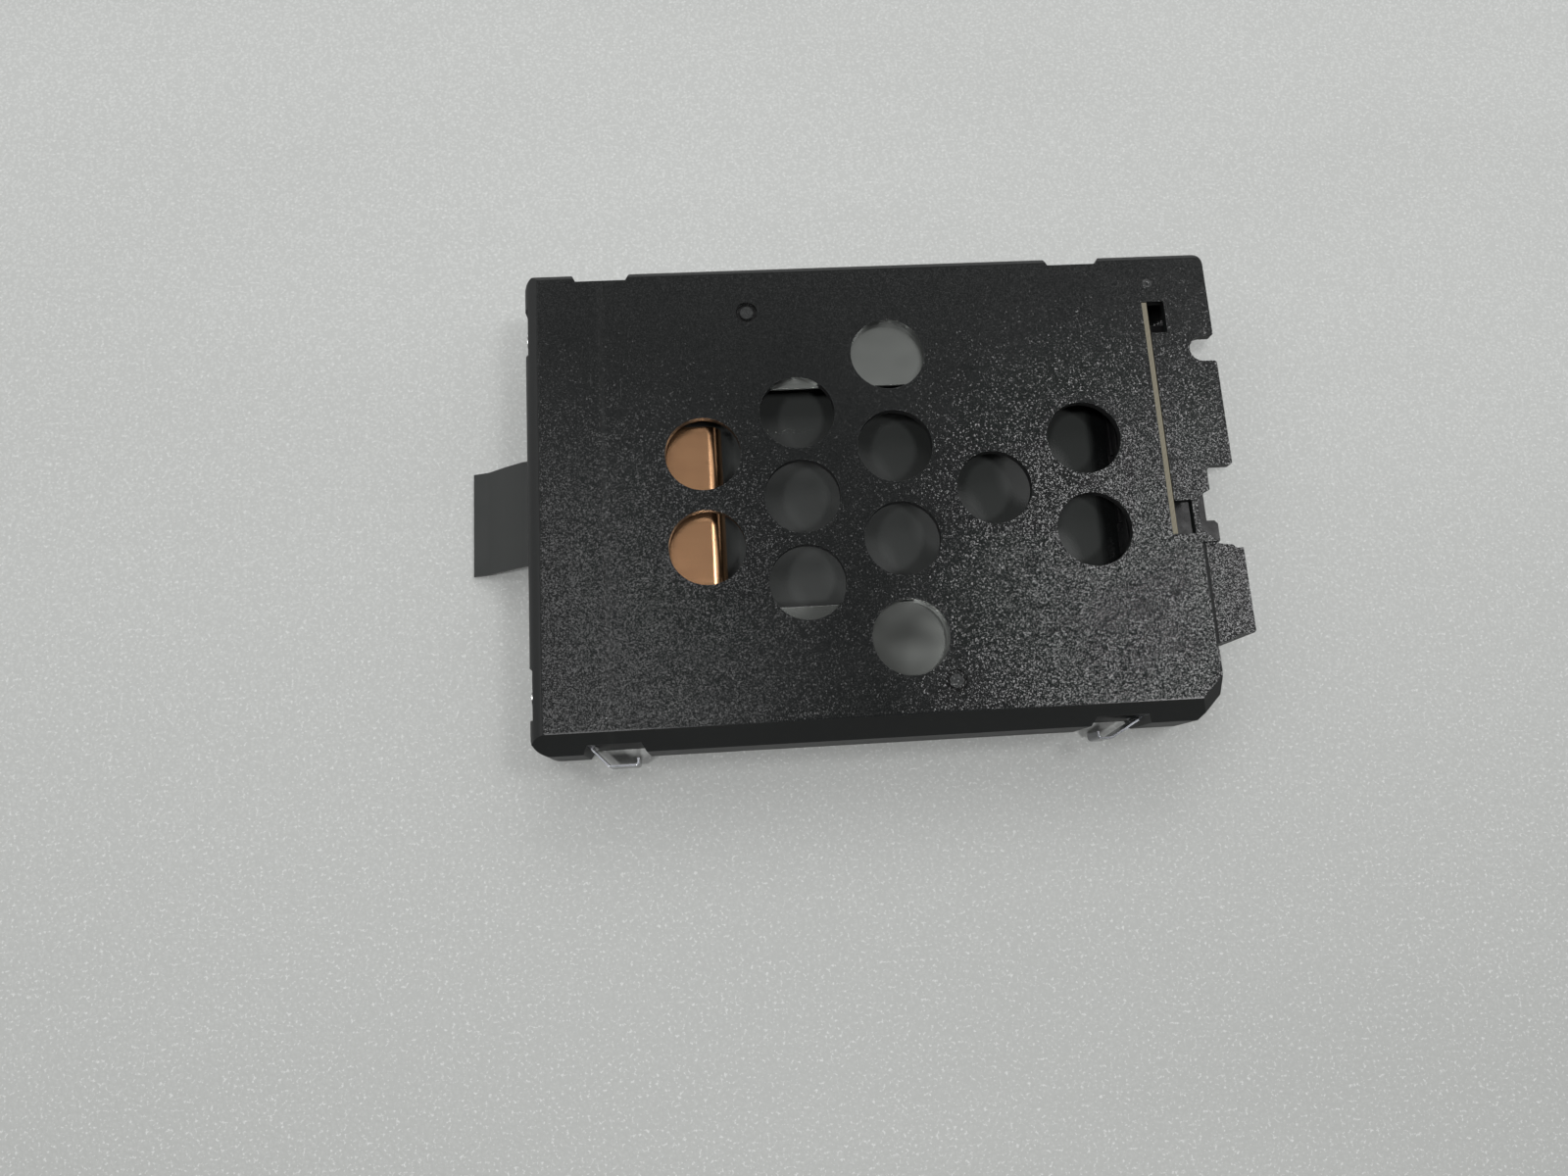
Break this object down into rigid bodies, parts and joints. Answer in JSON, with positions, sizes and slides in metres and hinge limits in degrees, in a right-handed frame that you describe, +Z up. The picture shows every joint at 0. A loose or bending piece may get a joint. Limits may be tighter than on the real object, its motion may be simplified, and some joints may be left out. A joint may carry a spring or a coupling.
{
  "type": "hot swap drive caddy",
  "caption": "Flat moulded caddy for a small drive: windowed cover and tray with steel rails, side spring clips, copper leaf, upright connector board and film pull tab.",
  "frame": {"origin": "middle of the moulded outline, on the tray's flat underside", "axes": "+X along the length to the connector end, +Y to the long side without the key bevel, +Z up out of the windowed cover"},
  "size_m": [0.1336, 0.0861, 0.0145],
  "materials": {
    "cover_plastic": "fine spark-eroded grain",
    "tray_plastic": "fine spark-eroded grain",
    "rail_steel": "bright rolled",
    "spring_steel": "bright spring strip",
    "leaf_copper": "smooth copper strip",
    "board_laminate": "glass-filled laminate",
    "chip_parts": "fired",
    "connector_plastic": "moulded",
    "contact_gold": "gold plated",
    "tab_film": "semi-matt film",
    "clamp_plastic": "moulded",
    "screw_steel": "zinc plated"
  },
  "bodies": {
    "caddy": {"top_shell": "cover_plastic", "bottom_tray": "tray_plastic", "near_rail": "rail_steel", "far_rail": "rail_steel", "interposer_board": "board_laminate", "board_components": "chip_parts", "drive_receptacle": "connector_plastic", "host_plug": "connector_plastic", "receptacle_power_contacts": "contact_gold", "receptacle_signal_contacts": "contact_gold", "plug_power_contacts": "contact_gold", "plug_signal_contacts": "contact_gold", "pull_tab": "tab_film", "tab_clamp_bar": "clamp_plastic", "front_screw_near": "screw_steel", "front_screw_far": "screw_steel", "rear_screw_near": "screw_steel", "rear_screw_far": "screw_steel", "tab_clamp_screws": "screw_steel"},
    "clip_front_near_spring": {"clip_front_near": "spring_steel"},
    "clip_rear_near_spring": {"clip_rear_near": "spring_steel"},
    "leaf_spring": {"copper_leaf": "leaf_copper"}
  },
  "joints": [
    {"name": "clip_front_near_press", "type": "hinge", "parent": "caddy", "child": "clip_front_near_spring", "pos_m": [-0.05144, -0.0401, 0.0069], "axis": [0, 0, 1], "range_deg": [0, 13], "stiffness_Nm_per_rad": 0.13},
    {"name": "clip_rear_near_press", "type": "hinge", "parent": "caddy", "child": "clip_rear_near_spring", "pos_m": [0.04094, -0.0401, 0.0069], "axis": [0, 0, -1], "range_deg": [0, 13], "stiffness_Nm_per_rad": 0.13},
    {"name": "leaf_press", "type": "hinge", "parent": "caddy", "child": "leaf_spring", "pos_m": [-0.0579, -0.00115, 0.0112], "axis": [0, -1, 0], "range_deg": [0, 2], "stiffness_Nm_per_rad": 2.4}
  ]
}
